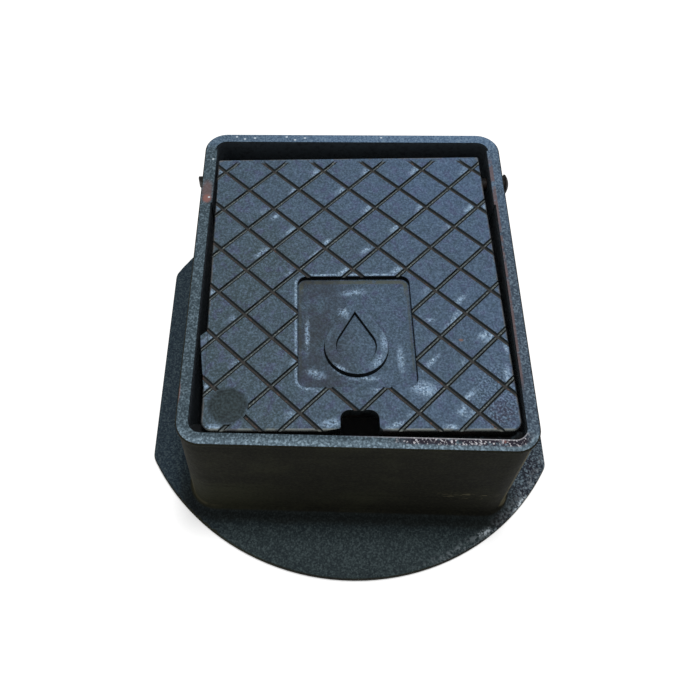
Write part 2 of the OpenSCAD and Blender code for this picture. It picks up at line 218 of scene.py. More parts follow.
class LidFinish(bpy.types.PropertyGroup):
    """Colours of the lid's coat."""

    # The face runs from the left colour to the right one: the right is painted bluer and lighter with the
    # sky's reflection
    left: colour("Left", "Left side of the lid's face", paint(60, 72, 78))
    right: colour("Right", "Right side of the lid's face", paint(68, 85, 107))
    frost: colour("Frost", "Pale scuffs", paint(128, 152, 176))
    speck: colour("Speck", "Light specks", paint(98, 119, 143))
    # The bright colour is light grit, and also the front edge's line of wear and painted highlight
    bright: colour("Bright", "Brightest grit", paint(140, 146, 140))
    bare: colour("Bare", "Brightest specks in the scuffs", paint(168, 188, 204))
    violet: colour("Violet", "Violet blotches", paint(68, 68, 98))
    teal: colour("Teal", "Green blotches", paint(50, 66, 68))
    shade: colour("Shade", "Dark specks", paint(30, 35, 39))
    # The groove colour is painted shade on the steep sides of the grooves, the panel and the drop and at the
    # panel's foot, and also a dark tone in the grit, the earth and the land
    groove: colour("Groove", "Dark sides of the grooves and the panel", paint(15, 17, 18))
    # A paler copy of the painted shade on the grooves' sides, in patches and along the falling grooves
    groove_pale: colour("Worn groove", "Sides of the grooves where they are rubbed", paint(46, 51, 53))
    grit: colour("Grit", "Grit in the rising grooves", paint(94, 102, 103))
    earth: colour("Earth", "Grey brown dirt in the falling grooves", paint(54, 53, 52))
    earth_dark: colour("Dark earth", "Brown film in the sunk panel", paint(46, 46, 50))
    land: colour("Land", "The plain round land", paint(41, 49, 50))
    # The olive film is partly dirt, partly painted highlight along the panel's floor by its walls
    olive: colour("Olive", "Film at the back of the sunk panel", paint(76, 80, 71))
    # The edge colour is wear and painted highlight along the plate's edges
    edge: colour("Edge", "Worn edges of the plate", paint(106, 101, 98))
    below: colour("Below", "Sides and underside", paint(38, 38, 37))
    bloom: colour("Bloom", "Purple bloom by the front corner", paint(52, 47, 60))
    rust: colour("Rust", "Old rust", paint(112, 84, 72))


class PinFinish(bpy.types.PropertyGroup):
    """Colours of the hinge pin."""

    steel: colour("Steel", "The pin's dark steel", paint(24, 23, 23))
    rust: colour("Rust", "Brown rust on the pin", paint(34, 28, 25))
    # Painted highlight: the lit grey of the head's inner face and the pin's edges
    pin_highlight: colour("Rub", "Where the pin is rubbed bright", paint(96, 96, 95))


# Finishes


def feed(tree, socket, value):
    """Joins a socket to another one, or sets it."""
    if isinstance(value, bpy.types.NodeSocket):
        tree.links.new(value, socket)
    elif hasattr(socket.default_value, "__len__") and len(socket.default_value) == 4:
        socket.default_value = (*tuple(value)[:3], 1)
    else:
        socket.default_value = value


def add_node(tree, kind, feeds=None, **settings):
    """Adds a node with its settings and what feeds its sockets."""
    made = tree.nodes.new(kind)
    for name, value in settings.items():
        setattr(made, name, value)
    for key, value in (feeds or {}).items():
        feed(tree, made.inputs[key], value)
    return made


class Coat:
    """One finish: a shader and the nodes that feed it, with sizes in millimetres on Object coordinates."""

    def __init__(self, name, gloss, middle=(0, 0), turn=0.0):
        self.material = bpy.data.materials.new(name)
        self.material.use_nodes = True
        self.tree = self.material.node_tree
        self.shader = self.tree.nodes["Principled BSDF"]
        self.shader.inputs["Specular IOR Level"].default_value = gloss
        self.middle = Vector(middle)
        self.turn = turn
        self.coords = self.node("ShaderNodeTexCoord")
        self.place = self.laid_out()
        self.x, self.y, self.z = self.split(self.place)
        self.facing_x, self.facing_y, self.up = self.split(self.coords.outputs["Normal"])

    def node(self, kind, feeds=None, **settings):
        """A node of this finish."""
        return add_node(self.tree, kind, feeds, **settings)

    def laid_out(self, middle=(0, 0), turn=0.0, size=(1, 1, 1)):
        """Object coordinates in millimetres, centred and turned as asked, and divided by a size."""
        at = self.middle + Matrix.Rotation(self.turn, 2) @ Vector(middle)
        return self.node(
            "ShaderNodeMapping",
            {
                "Vector": self.coords.outputs["Object"],
                "Location": (at.x * MM, at.y * MM, 0),
                "Rotation": (0, 0, self.turn + turn),
                "Scale": tuple(side * MM for side in size),
            },
            vector_type="TEXTURE",
        ).outputs["Vector"]

    def split(self, vector):
        """The three parts of a vector."""
        return tuple(self.node("ShaderNodeSeparateXYZ", {0: vector}).outputs)

    def math(self, operation, first, second=0.0, third=0.0):
        """One sum."""
        return self.node(
            "ShaderNodeMath", {0: first, 1: second, 2: third}, operation=operation
        ).outputs["Value"]

    def band(self, value, low, high):
        """A mask that goes smoothly from 0 at low to 1 at high, where low may be the larger."""
        return self.node(
            "ShaderNodeMapRange",
            {"Value": value, "From Min": low, "From Max": high},
            interpolation_type="SMOOTHSTEP",
        ).outputs["Result"]

    def between(self, value, start, full, fade, end):
        """A mask that rises from start to full and falls again from fade to end."""
        return self.both(self.band(value, start, full), self.band(value, end, fade))

    def both(self, *masks):
        """Where all the masks are."""
        found = masks[0]
        for mask in masks[1:]:
            found = self.math("MULTIPLY", found, mask)
        return found

    def either(self, *masks):
        """Where any of the masks is."""
        found = masks[0]
        for mask in masks[1:]:
            found = self.math("MAXIMUM", found, mask)
        return found

    def part(self, mask, amount):
        """A share of a mask."""
        return self.math("MULTIPLY", mask, amount)

    def mix(self, mask, under, over):
        """One colour over another through a mask."""
        return self.node("ShaderNodeMix", {0: mask, 6: under, 7: over}, data_type="RGBA").outputs[2]

    def lay(self, under, over, mask, amount=1.0):
        """One colour over another, through a share of a mask."""
        return self.mix(mask if amount == 1.0 else self.part(mask, amount), under, over)

    def noise(self, size, detail=2.0, rough=0.5, stretch=(1, 1, 1), seed=0.0):
        """Noise whose blotches are about size millimetres across, longer where stretch is more than 1."""
        laid = self.place if stretch == (1, 1, 1) else self.laid_out(size=stretch)
        return self.node(
            "ShaderNodeTexNoise",
            {"Vector": laid, "W": seed, "Scale": 1 / size, "Detail": detail, "Roughness": rough},
            noise_dimensions="4D",
        ).outputs["Fac"]

    def specks(self, size, low, high, **kind):
        """Separate specks: the parts of a noise above a level."""
        return self.band(self.noise(size, **kind), low, high)

    def distance(self, x=0, y=0, wide=1, deep=1, turn=0.0):
        """How far a place lies from another seen from above, measured in a patch's half width and depth."""
        laid = self.laid_out((x, y), math.radians(turn), (wide, deep, TALL))
        return self.node("ShaderNodeVectorMath", {0: laid}, operation="LENGTH").outputs["Value"]

    def spot(self, x, y, wide, deep, turn=0.0, ragged=0.5, edge=0.5):
        """A ragged patch about a place, given as in the lists of places."""
        tearing = self.noise(max(0.8, min(wide, deep) * 0.5), 3, 0.6)
        torn = self.math("MULTIPLY_ADD", tearing, ragged, self.distance(x, y, wide, deep, turn))
        return self.band(torn, 1 + ragged / 2 + edge / 2, 1 + ragged / 2 - edge)

    def spots(self, places, **kind):
        """Several such patches."""
        return self.either(*[self.spot(*place, **kind) for place in places])

    def beyond(self, x, y, wide, deep, corner):
        """How far a place lies outside a block with rounded corners seen from above, below 0 inside it."""
        far_x = self.math("SUBTRACT", self.math("ABSOLUTE", x), wide / 2 - corner)
        far_y = self.math("SUBTRACT", self.math("ABSOLUTE", y), deep / 2 - corner)
        out_x = self.math("MAXIMUM", far_x, 0.0)
        out_y = self.math("MAXIMUM", far_y, 0.0)
        square = self.math("MULTIPLY_ADD", out_x, out_x, self.math("MULTIPLY", out_y, out_y))
        straight = self.math("MINIMUM", self.math("MAXIMUM", far_x, far_y), 0.0)
        outside = self.math("ADD", self.math("SQRT", square), straight)
        return self.math("SUBTRACT", outside, corner)

    def mottle(self, base, dark, light, size, depth, **kind):
        """A coat broken up by darker and lighter blotches of about size millimetres."""
        spread = self.noise(size, **kind)
        base = self.mix(self.part(self.band(spread, 0.47, 0.70), depth), base, light)
        return self.mix(self.part(self.band(spread, 0.53, 0.30), depth), base, dark)

    def edges(self, reach, low=0.995, high=0.93):
        """Edges and corners, from how far a rounded normal turns from the true one."""
        soft = self.node("ShaderNodeBevel", {"Radius": reach * MM}, samples=6).outputs["Normal"]
        true = self.node("ShaderNodeNewGeometry").outputs["True Normal"]
        same = self.node("ShaderNodeVectorMath", {0: soft, 1: true}, operation="DOT_PRODUCT")
        return self.band(same.outputs["Value"], low, high)

    def bump(self, *layers):
        """Relief from layers of (height, strength, depth in millimetres), over softly rounded edges."""
        normal = self.node("ShaderNodeBevel", {"Radius": ROUNDING * MM}, samples=4).outputs["Normal"]
        for height, strength, depth in layers:
            normal = self.node(
                "ShaderNodeBump",
                {"Height": height, "Strength": strength, "Distance": depth * MM, "Normal": normal},
            ).outputs["Normal"]
        return normal

    def dress(self, base, roughness, normal):
        """Feeds the shader and gives back the finish."""
        for name, value in (("Base Color", base), ("Roughness", roughness), ("Normal", normal)):
            feed(self.tree, self.shader.inputs[name], value)
        return self.material


def coat_rim(coat, look, mouth):
    """The rim's flat top: grey at the sides, painted bluer and lighter at the back and in patches on the
    right with the sky's reflection, speckled pale and plum at the front.
    """
    # Painted sky reflection: a little bluer on the right, lighter and bluer at the back and in patches on the
    # right
    rim = coat.mix(coat.band(coat.x, -60, 60), look.rim, look.rim_right)
    back = coat.mix(coat.band(coat.x, -82, 0), coat.mix(0.45, look.rim_sky_sheen, look.rim), look.rim_sky_sheen)
    rim = coat.mix(coat.band(coat.y, 93, 101), rim, back)
    pale_right = coat.both(coat.band(coat.x, 70, 80), coat.band(coat.y, 10, 70))
    pale_right = coat.both(pale_right, coat.band(coat.noise(9, 2, seed=41), 0.3, 0.6))
    rim = coat.lay(rim, look.rim_sky_sheen, pale_right, 0.5)
    at_front = coat.band(coat.y, -79, -85)
    outer = coat.band(mouth, 1.4, 4.2)
    rim = coat.mix(at_front, rim, coat.lay(look.rim, look.rim_front, outer, 0.9))
    rim = coat.mottle(rim, look.soot, look.frost, 0.9, 0.42, detail=1, seed=3)
    rim = coat.lay(rim, look.frost, coat.both(at_front, outer, coat.specks(1.3, 0.5, 0.66, detail=1, seed=9)))

    # Plum bloom on the inner half of the front rim's right end, with pale pink specks in it
    plum = coat.both(at_front, coat.between(coat.x, 12, 28, 77, 86), coat.band(mouth, 4.4, 3.0))
    plum = coat.both(plum, coat.band(coat.noise(4, 2, 0.6, seed=12), 0.34, 0.46))
    rim = coat.lay(rim, look.plum, plum, 0.9)
    pink = coat.mix(0.4, look.bare, look.fresh_rust)
    rim = coat.lay(rim, pink, coat.both(plum, coat.specks(0.9, 0.54, 0.66, detail=1, seed=13)))
    inner_line = coat.both(at_front, coat.band(coat.x, -10, 30), coat.band(mouth, 1.0, 0.5))
    rim = coat.lay(rim, pink, inner_line, 0.6)

    # Rust along the right rim's inner edge, by the pin's plain end and on the left rim's outer edge
    strip = coat.both(coat.band(mouth, 1.9, 1.1), coat.band(coat.x, 60, 70))
    strip = coat.both(strip, coat.between(coat.y, -62, -50, 80, 92))
    strip = coat.both(strip, coat.band(coat.noise(5, 3, 0.6, seed=2), 0.36, 0.5))
    rim = coat.lay(rim, look.rust, strip, 0.75)
    rim = coat.lay(rim, look.rust, coat.spots(RIM_RUST), 0.8)
    orange = coat.both(coat.spots(RIM_ORANGE), coat.specks(1.0, 0.44, 0.62, seed=36))
    rim = coat.lay(rim, look.fresh_rust, coat.either(coat.spots(RIM_FRESH_RUST), coat.part(orange, 0.8)), 0.7)
    return coat.lay(rim, look.bare, coat.spots(RIM_CHIPS, edge=0.6), 0.85)


def coat_walls(coat, look):
    """The walls: matt dark, with faint level lines from the mould, olive at the left and painted highlights
    down the corners.
    """
    cloud = coat.noise(22, 3, 0.6, seed=14)
    wall = coat.lay(look.wall, look.wall_olive, coat.band(cloud, 0.42, 0.72), 0.5)
    left = coat.band(coat.x, -44, -84)
    low_left = coat.both(coat.band(coat.x, -20, -70), coat.band(coat.z, 44, 36))
    wall = coat.lay(wall, look.wall_olive, coat.either(coat.part(left, 0.2), coat.part(low_left, 0.7)))
    wall = coat.lay(wall, look.wall_dark, coat.band(coat.x, 10, 60), 0.3)
    lines = coat.noise(7, 3, 0.6, stretch=(24, 24, 1), seed=6)
    wall = coat.lay(wall, look.wall_dark, coat.band(lines, 0.5, 0.34), 0.4)
    joint = coat.both(coat.between(coat.z, 41, 45, 48, 53), coat.band(coat.noise(14, 2), 0.36, 0.56))
    wall = coat.lay(wall, look.wall_dark, joint, 0.15)
    wall = coat.mottle(wall, look.wall_dark, look.wall_olive, 1.5, 0.3, detail=2, seed=15)

    # Short pale streaks low on the right of the front wall
    streaks = coat.specks(1.3, 0.55, 0.68, detail=1, stretch=(2.4, 2.4, 1), seed=16)
    streaks = coat.both(streaks, coat.between(coat.x, 40, 56, 72, 80), coat.between(coat.z, 25, 28, 33, 37))
    wall = coat.lay(wall, look.corner, coat.both(streaks, coat.band(coat.y, -60, -80)), 0.6)

    # Painted highlights down the two front corners and along the foot at the left, broken into patches
    patchy = coat.band(coat.noise(5, 3, 0.6, seed=17), 0.32, 0.55)
    right_line = coat.between(coat.facing_x, 0.58, 0.72, 0.82, 0.92)
    left_line = coat.both(coat.band(coat.facing_x, -0.78, -0.88), coat.band(coat.z, 34, 22))
    front = coat.band(coat.facing_y, -0.2, -0.4)
    line = coat.both(coat.either(right_line, coat.part(left_line, 0.7)), front, patchy)
    wall = coat.lay(wall, look.corner, line, 0.85)
    toe = coat.both(coat.between(coat.z, 5.2, 6.2, 7.4, 8.2), coat.band(coat.x, -66, -80), patchy)
    return coat.lay(wall, look.corner, toe, 0.4)


def coat_flange(coat, look, foot):
    """The flange: speckled teal grey, painted lighter and bluer on the right where more sky light falls,
    scuffed and plum there, with a painted shadow round the wall's foot.
    """
    # Painted light: lighter, bluer and more strongly specked on the right, where more sky light falls
    right = coat.band(coat.x, 74, 96)
    flange = coat.mix(coat.band(coat.x, -60, -106), look.flange, look.flange_left)
    flange = coat.mix(right, flange, look.flange_right)
    light = coat.mix(right, look.flange_speck, coat.mix(0.45, look.frost, look.flange_speck))
    depth = coat.math("MULTIPLY_ADD", right, 0.15, 0.6)
    flange = coat.lay(flange, look.plum, coat.spots(FLANGE_PLUM), 0.55)
    flange = coat.mottle(flange, look.soot, light, 0.85, depth, detail=1, seed=3)
    edge = coat.both(coat.band(coat.distance(), 122, 127), coat.specks(1.6, 0.46, 0.64, seed=18))
    edge = coat.both(edge, coat.band(coat.x, 20, 90), coat.band(coat.y, 0, -50))
    patchy = coat.both(coat.spots(FLANGE_SCUFFS), coat.specks(1.3, 0.42, 0.58, seed=7))
    flange = coat.lay(flange, look.bare, coat.either(coat.part(edge, 0.3), patchy), 0.75)
    flange = coat.lay(flange, look.soot, coat.spots(FLANGE_PIPS))
    # Painted shadow of the wall on the flange, ragged, in front of its foot
    ragged = coat.math("MULTIPLY_ADD", coat.noise(7, 3, 0.6, seed=19), 5.0, foot)
    shade = coat.both(coat.band(ragged, 12.5, 8.5), coat.band(coat.y, -60, -92))
    return coat.lay(flange, look.wall, shade, 0.5)


def make_frame_coat(look):
    """The frame: bloomed rim, matt dark walls, teal grey flange and a dark inside with painted shade on the
    ledges.
    """
    coat = Coat("frame_coat", 0.03)
    from_middle = coat.math("SUBTRACT", coat.y, BOX_BACK)
    mouth = coat.beyond(coat.x, from_middle, *MOUTH)
    foot = coat.beyond(coat.x, from_middle, *FOOT)
    on_rim = coat.both(coat.band(coat.z, RIM_TOP - 0.6, RIM_TOP - 0.3), coat.band(coat.up, 0.84, 0.96))
    on_flange = coat.both(
        coat.band(coat.z, FLANGE_TOP + 1.2, FLANGE_TOP + 0.3), coat.band(coat.up, 0.45, 0.85)
    )
    # Painted shade: the ledges and other upward faces inside show near black, as in deep shadow
    inside = coat.lay(look.inside, look.ledge, coat.band(coat.up, 0.3, 0.7), 0.95)
    inside = coat.mottle(inside, look.ledge, look.rim, 2.2, 0.35, seed=20)

    base = coat.mix(on_flange, coat_walls(coat, look), coat_flange(coat, look, foot))
    base = coat.mix(coat.band(mouth, 2.6, 1.8), base, inside)
    base = coat.mix(on_rim, base, coat_rim(coat, look, mouth))

    grain = coat.noise(1.2, 3, 0.65, seed=3)
    normal = coat.bump(
        (coat.noise(26, 3, 0.55), 0.35, 2.0),
        (coat.noise(6, 3, 0.6, seed=2), 0.35, 0.6),
        (grain, 0.55, 0.22),
        (coat.specks(2.2, 0.62, 0.72, seed=8), -0.5, 0.2),
    )
    return coat.dress(base, coat.math("MULTIPLY_ADD", grain, 0.3, 0.55), normal)


def coat_face(coat, look):
    """The lid's face: grey at the front left, painted bluer and lighter towards the back right with the sky's
    reflection, and mottled fine.
    """
    # Painted sky reflection: the face turns bluer and lighter towards the back and the right
    at_back = coat.part(coat.band(coat.y, 0, 80), 0.35)
    blue = coat.math("MULTIPLY_ADD", coat.band(coat.x, -78, 70), 0.75, at_back)
    blue = coat.math("ADD", blue, coat.math("MULTIPLY_ADD", coat.noise(30, 3, 0.55), 0.9, -0.45))
    blue = coat.math("MINIMUM", coat.math("MAXIMUM", blue, 0.0), 1.0)
    base = coat.mix(blue, look.left, look.right)
    tint = coat.noise(5, 2, 0.6, seed=21)
    base = coat.lay(base, look.violet, coat.band(tint, 0.52, 0.66), 0.45)
    base = coat.lay(base, look.teal, coat.band(tint, 0.48, 0.32), 0.3)
    base = coat.mottle(base, look.shade, look.speck, 1.1, 0.28, detail=1, seed=3)
    return coat.mottle(base, look.shade, look.frost, 0.75, 0.17, detail=1, seed=22)


def scuff_face(coat, look, base, panel, rising, falling):
    """Pale scuffs by the grooves and round the panel, rust spots and a purple bloom by the front corner."""
    beside = coat.both(
        coat.between(rising, -5.4, -2.2, -1.3, -0.9), coat.between(falling, -10.5, -3.5, -1.6, -0.8)
    )
    beside = coat.both(beside, coat.band(coat.noise(15, 2, 0.5, seed=11), 0.44, 0.58))
    beside = coat.both(beside, coat.band(panel, 0.4, 1.4))
    left_line = coat.both(coat.between(panel, 0.3, 0.7, 1.4, 2.0), coat.band(coat.x, -18, -24))
    left_line = coat.both(left_line, coat.band(coat.y, 0, -6))
    back_line = coat.both(
        coat.between(coat.y, -2.0, -1.6, -0.9, -0.4), coat.between(coat.x, -24, -21, 21, 24)
    )
    scuffed = coat.either(
        coat.part(beside, 0.8), coat.spots(LID_SCUFFS, ragged=0.8, edge=0.9),
        coat.part(left_line, 0.7), coat.part(back_line, 0.8),
    )
    scuffed = coat.both(scuffed, coat.band(coat.noise(0.9, 2, 0.6, seed=23), 0.34, 0.62))
    base = coat.lay(base, look.frost, scuffed)
    base = coat.lay(base, look.bare, coat.both(scuffed, coat.specks(0.8, 0.52, 0.66, detail=1, seed=37)), 0.8)
    bloom = coat.both(coat.spots(LID_BLOOM), coat.band(coat.noise(2.4, 2, 0.6, seed=24), 0.36, 0.56))
    base = coat.lay(base, look.bloom, bloom, 0.7)
    by_corner = coat.part(coat.spots(LID_GRITTY), 0.45)
    base = coat.mottle(base, look.shade, look.frost, 1.0, by_corner, detail=1, seed=35)
    return coat.lay(base, look.rust, coat.spots(LID_RUST, edge=0.6), 0.8)


def coat_panel(coat, look, base, panel):
    """The sunk panel: an olive film along its back and sides, partly dirt and partly painted highlight, brown
    at the left, and scuffed, as is the drop in it.
    """
    # Olive film along the back and sides of the panel's floor: dirt, and a painted highlight where a fillet
    # by the wall would catch light
    film = coat.both(coat.between(panel, -3.4, -2.4, -1.0, -0.4), coat.band(coat.y, -14, -8))
    sides = coat.both(coat.between(panel, -2.2, -1.4, -0.8, -0.4), coat.band(coat.y, -60, -52))
    film = coat.either(coat.part(film, 0.8), coat.part(sides, 0.4))
    film = coat.both(film, coat.band(coat.noise(3, 3, 0.6, seed=25), 0.28, 0.5))
    base = coat.lay(base, look.olive, film)
    brown = coat.both(coat.band(coat.x, 6, -16), coat.band(coat.noise(9, 3, 0.6, seed=40), 0.3, 0.6))
    base = coat.lay(base, look.earth_dark, brown, 0.6)
    gritty = coat.band(coat.noise(0.9, 2, 0.6, seed=26), 0.36, 0.62)
    scuffed = coat.both(coat.spots(PANEL_SCUFFS, ragged=0.8, edge=0.9), gritty)
    base = coat.lay(base, look.frost, scuffed, 0.9)
    return coat.lay(base, look.bare, coat.both(scuffed, coat.specks(0.8, 0.54, 0.68, detail=1, seed=38)), 0.7)


def fill_grooves(coat, look, rising, falling):
    """Dirt and painted shade in the grooves: grit between painted shade at the sides of the rising ones,
    brown earth with painted shade on one side in the falling ones.
    """
    in_rising = coat.band(coat.math("ABSOLUTE", rising), 1.0, 0.8)
    in_falling = coat.band(coat.math("ABSOLUTE", falling), 1.0, 0.8)
    grain = coat.noise(0.9, 2, 0.6, seed=27)
    stretches = coat.band(coat.noise(16, 2, 0.5, seed=32), 0.38, 0.6)
    grit = coat.mix(coat.band(grain, 0.42, 0.64), coat.mix(0.5, look.grit, look.groove), look.grit)
    grit = coat.lay(grit, look.bright, coat.both(stretches, coat.band(grain, 0.54, 0.68)))
    # Painted shade along both sides of the rising grooves' floor, with grit between
    rising_floor = coat.mix(coat.between(rising, -0.85, -0.6, 0.0, 0.25), look.groove, grit)
    earth = coat.lay(look.earth, look.rust, coat.band(coat.noise(2.5, 3, 0.6, seed=28), 0.54, 0.7), 0.4)
    earth = coat.lay(earth, look.groove, coat.band(grain, 0.5, 0.36), 0.5)
    # Painted shade on one side of the falling grooves' floor
    shaded = coat.mix(0.5, look.groove, look.groove_pale)
    falling_floor = coat.mix(coat.band(falling, 0.3, 0.55), earth, shaded)
    floor = coat.mix(in_rising, falling_floor, rising_floor)
    return coat.mix(coat.both(in_rising, in_falling), floor, look.earth)


def coat_land(coat, look):
    """The plain land: round marks from its grinding, and a darker rim."""
    far = coat.distance(*LAND[:2])
    wobble = coat.math("MULTIPLY_ADD", coat.noise(4, 2, seed=29), 2.0, far)
    marks = coat.math("SINE", coat.math("MULTIPLY", wobble, 2 * math.pi / MARK_PITCH))
    ground = coat.lay(look.land, look.left, coat.band(marks, -0.2, 1.0), 0.25)
    rim = coat.both(coat.band(far, 6.0, 9.2), coat.band(coat.noise(4, 2, seed=34), 0.36, 0.56))
    ground = coat.lay(ground, look.shade, rim, 0.5)
    return coat.mottle(ground, look.groove, look.left, 1.2, 0.5, detail=1, seed=30)


def edge_wear_and_painted_light(coat, look, base, plate, panel, level):
    """Wear lines with painted highlight along the plate's edge, pale rims of wear and painted highlight by
    the grooves, and a painted shade line at the panel's foot.
    """
    broken = coat.band(coat.noise(6, 3, 0.6, seed=31), 0.4, 0.56)
    clear_of_nib = coat.either(
        coat.band(coat.x, -72, -70), coat.band(coat.y, -66, -68), coat.band(coat.y, -35, -33)
    )
    # Wear with painted highlight along the plate's top edge and its front edge, where a rounded edge would
    # catch light
    line = coat.both(coat.band(plate, -1.2, -0.6), coat.band(coat.z, LID_TOP - 1.2, LID_TOP - 0.6))
    base = coat.lay(base, look.edge, coat.both(line, broken, clear_of_nib), 0.6)
    front_line = coat.both(coat.band(coat.y, -87.9, -88.5), coat.band(coat.z, LID_TOP - 1.4, LID_TOP - 0.7))
    front_line = coat.both(front_line, coat.band(coat.noise(5, 2, 0.6, seed=39), 0.36, 0.5))
    base = coat.lay(base, look.bright, front_line, 0.7)
    # Pale rims on the turned edges of the face, clear of the panel: wear and painted highlight
    turned = coat.edges(0.7)
    at_top = coat.band(coat.z, LID_TOP - 0.3, LID_TOP - 0.1)
    clear_of_panel = coat.either(coat.band(panel, 0.8, 1.6), coat.band(panel, -3, -5))
    base = coat.lay(base, look.grit, coat.both(turned, at_top, clear_of_panel, broken), 0.45)
    # Painted shade in the crevice along the foot of the panel's walls
    at_floor = coat.band(coat.z, LID_TOP - PANEL_DEEP + 0.3, LID_TOP - PANEL_DEEP + 0.1)
    foot = coat.both(turned, at_floor, level, coat.band(panel, 0.0, -0.2))
    return coat.lay(base, look.groove, foot, 0.75)


def coat_sides(coat, look, panel, falling):
    """The sides of the grooves and the panel: painted dark shade, paler in patches and along the falling
    grooves off the panel.
    """
    off_panel = coat.band(panel, 0.2, 0.6)
    lightened = coat.both(coat.band(coat.noise(9, 3, 0.6, seed=33), 0.36, 0.62), off_panel)
    softer = coat.both(coat.band(coat.math("ABSOLUTE", falling), 1.6, 1.4), off_panel)
    pale = coat.either(coat.part(lightened, 0.8), coat.part(softer, 0.65))
    return coat.mix(pale, look.groove, look.groove_pale)


def make_lid_coat(look):
    """The lid: blue grey face, painted bluer at the back right, scuffed pale by feet, dirt and painted shade
    in the grooves, painted shade on steep sides, and a plain dark land.
    """
    coat = Coat("lid_coat", 0.08, (0, BOX_BACK), LID_TURN)
    along = coat.math("DIVIDE", coat.x, TREAD_W)
    across = coat.math("DIVIDE", coat.math("SUBTRACT", coat.y, TREAD_ROW), TREAD_D)
    rising, falling = (
        coat.math("MULTIPLY", coat.math("WRAP", coat.math(way, along, across), 0.5, -0.5), TREAD_PITCH)
        for way in ("SUBTRACT", "ADD")
    )
    plate = coat.beyond(coat.x, coat.math("SUBTRACT", coat.y, PLATE_MIDDLE), *PLATE)
    panel = coat.beyond(coat.x, coat.math("SUBTRACT", coat.y, PANEL_MIDDLE), *PANEL)
    level = coat.band(coat.up, 0.6, 0.85)
    in_groove = coat.both(coat.band(coat.z, LID_TOP - 0.3, LID_TOP - 0.6), coat.band(panel, -0.1, 0.1))

    face = coat_face(coat, look)
    base = scuff_face(coat, look, face, panel, rising, falling)
    base = coat.mix(coat.band(panel, 0.1, -0.1), base, coat_panel(coat, look, face, panel))
    base = coat.lay(base, coat_land(coat, look), coat.spot(*LAND, ragged=0.16, edge=0.16), 0.95)
    base = coat.mix(in_groove, base, fill_grooves(coat, look, rising, falling))
    base = edge_wear_and_painted_light(coat, look, base, plate, panel, level)
    # Steep faces, the sides of the grooves, the panel and the drop, take painted shade
    base = coat.mix(level, coat_sides(coat, look, panel, falling), base)

    below = coat.lay(look.below, look.rust, coat.band(coat.noise(14, 4, 0.6, seed=2), 0.45, 0.75), 0.2)
    outer_side = coat.both(coat.band(plate, -0.4, 0.2), coat.band(coat.up, 0.6, 0.3))
    base = coat.mix(coat.either(coat.band(coat.z, LID_UNDER + 0.4, LID_UNDER), outer_side), base, below)

    grain = coat.noise(1.2, 3, 0.68, seed=3)
    normal = coat.bump(
        (coat.noise(30, 3, 0.55), 0.3, 1.5),
        (coat.noise(7, 3, 0.6, seed=2), 0.3, 0.5),
        (grain, 0.6, 0.24),
        (coat.specks(2.4, 0.63, 0.72, seed=8), -0.4, 0.2),
    )
    return coat.dress(base, coat.math("MULTIPLY_ADD", grain, 0.35, 0.42), normal)


def make_pin_coat(look):
    """The pin: near-black steel with a little rust, a painted grey highlight on the head's inner face and,
    fainter, on its edges.
    """
    coat = Coat("pin_coat", 0.1)
    blotch = coat.noise(3, 3, 0.6)
    grain = coat.noise(0.8, 3, 0.6, seed=2)
    base = coat.mix(coat.band(blotch, 0.4, 0.6), look.steel, look.rust)
    # Painted highlight on the inner face of the pin's head and along its edges
    lightened = coat.both(coat.band(coat.x, 87, 88), coat.band(coat.facing_x, -0.7, -0.95))
    base = coat.lay(base, look.pin_highlight, coat.both(lightened, coat.band(grain, 0.25, 0.5)), 0.9)
    base = coat.lay(base, look.pin_highlight, coat.both(coat.edges(0.6), coat.band(grain, 0.4, 0.6)), 0.25)
    normal = coat.bump((blotch, 0.4, 0.3), (grain, 0.5, 0.12))
    return coat.dress(base, coat.math("MULTIPLY_ADD", grain, 0.3, 0.4), normal)


def wear(node, material):
    """Gives a solid of the frame its finish in every slot."""
    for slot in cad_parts[node].material_slots:
        slot.material = material


# Pieces


def finished(name, mesh, material, body):
    """Makes a piece of a bmesh, with its place in its mesh, and has it ride on a body."""
    data = bpy.data.meshes.new(name)
    mesh.to_mesh(data)
    mesh.free()
    piece = bpy.data.objects.new(name, data)
    bpy.context.scene.collection.objects.link(piece)
    data.materials.append(material)
    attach(piece, body)
    return piece


def draw_out_point(verts, stretch):
    """Draws a circle out radially to two straight sides that meet in a point at the back."""
    turn = math.acos(1 / stretch)
    for vert in verts:
        off_point = abs(math.atan2(vert.co.x, vert.co.y))
        if off_point < turn:
            vert.co *= 1 / math.cos(turn - off_point)


def raise_drop(mesh, size):
    """A drop cast in one with the panel: a raised band with softened edges round a sunk middle."""
    circle = bmesh.ops.create_circle(mesh, cap_ends=True, radius=size.radius, segments=size.segments)
    draw_out_point(circle["verts"], size.stretch)
    sunk = size.height - size.sunk
    steps = ((DRAFT, size.height), (size.band, size.height), (size.band + DRAFT, sunk))
    reach, height = size.radius, -DRAFT
    bmesh.ops.translate(mesh, verts=mesh.verts[:], vec=(0, 0, height))
    loops = [mesh.edges[:]]
    for inset, level in steps:
        made = bmesh.ops.extrude_edge_only(mesh, edges=loops[-1])["geom"]
        verts = [item for item in made if isinstance(item, bmesh.types.BMVert)]
        loops.append([item for item in made if isinstance(item, bmesh.types.BMEdge)])
        shrink = (size.radius - inset) / reach
        bmesh.ops.scale(mesh, verts=verts, vec=(shrink, shrink, 1))
        bmesh.ops.translate(mesh, verts=verts, vec=(0, 0, level - height))
        reach, height = size.radius - inset, level
    bmesh.ops.edgeloop_fill(mesh, edges=loops[-1])
    bmesh.ops.bevel(
        mesh, geom=loops[1] + loops[2], offset=DRAFT, offset_type="OFFSET", segments=2, profile=0.5,
        affect="EDGES", material=-1
    )
    bmesh.ops.recalc_face_normals(mesh, faces=mesh.faces[:])


